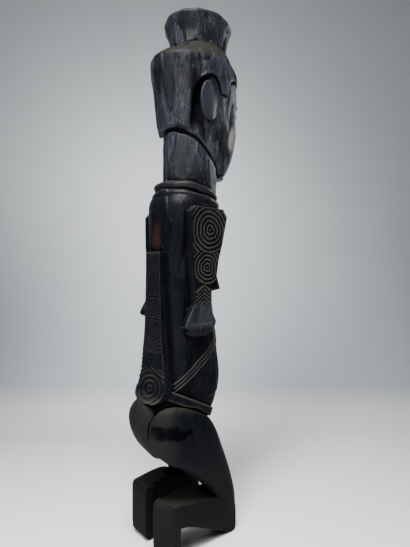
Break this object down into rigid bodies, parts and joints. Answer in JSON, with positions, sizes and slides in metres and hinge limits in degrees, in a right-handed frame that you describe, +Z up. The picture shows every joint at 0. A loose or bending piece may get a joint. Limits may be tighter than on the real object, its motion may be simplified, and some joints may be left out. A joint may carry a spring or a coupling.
{
  "type": "carved figure",
  "caption": "Kneeling ancestor figure carved from one block of dark wood, with a tall cap, ringed neck, circle-carved arms, carved back panel, belt and square lower legs.",
  "frame": {"origin": "centre of the bounding box at ground level, under the figure", "axes": "+Z up; the figure faces -Y and its left side is towards +X"},
  "size_m": [0.091, 0.1366, 0.5734],
  "materials": {
    "wood": "near-black stained wood, soft sheen on the facets, grey-brown dust on the ridges"
  },
  "bodies": {
    "root": {"figure": "wood"}
  },
  "joints": []
}
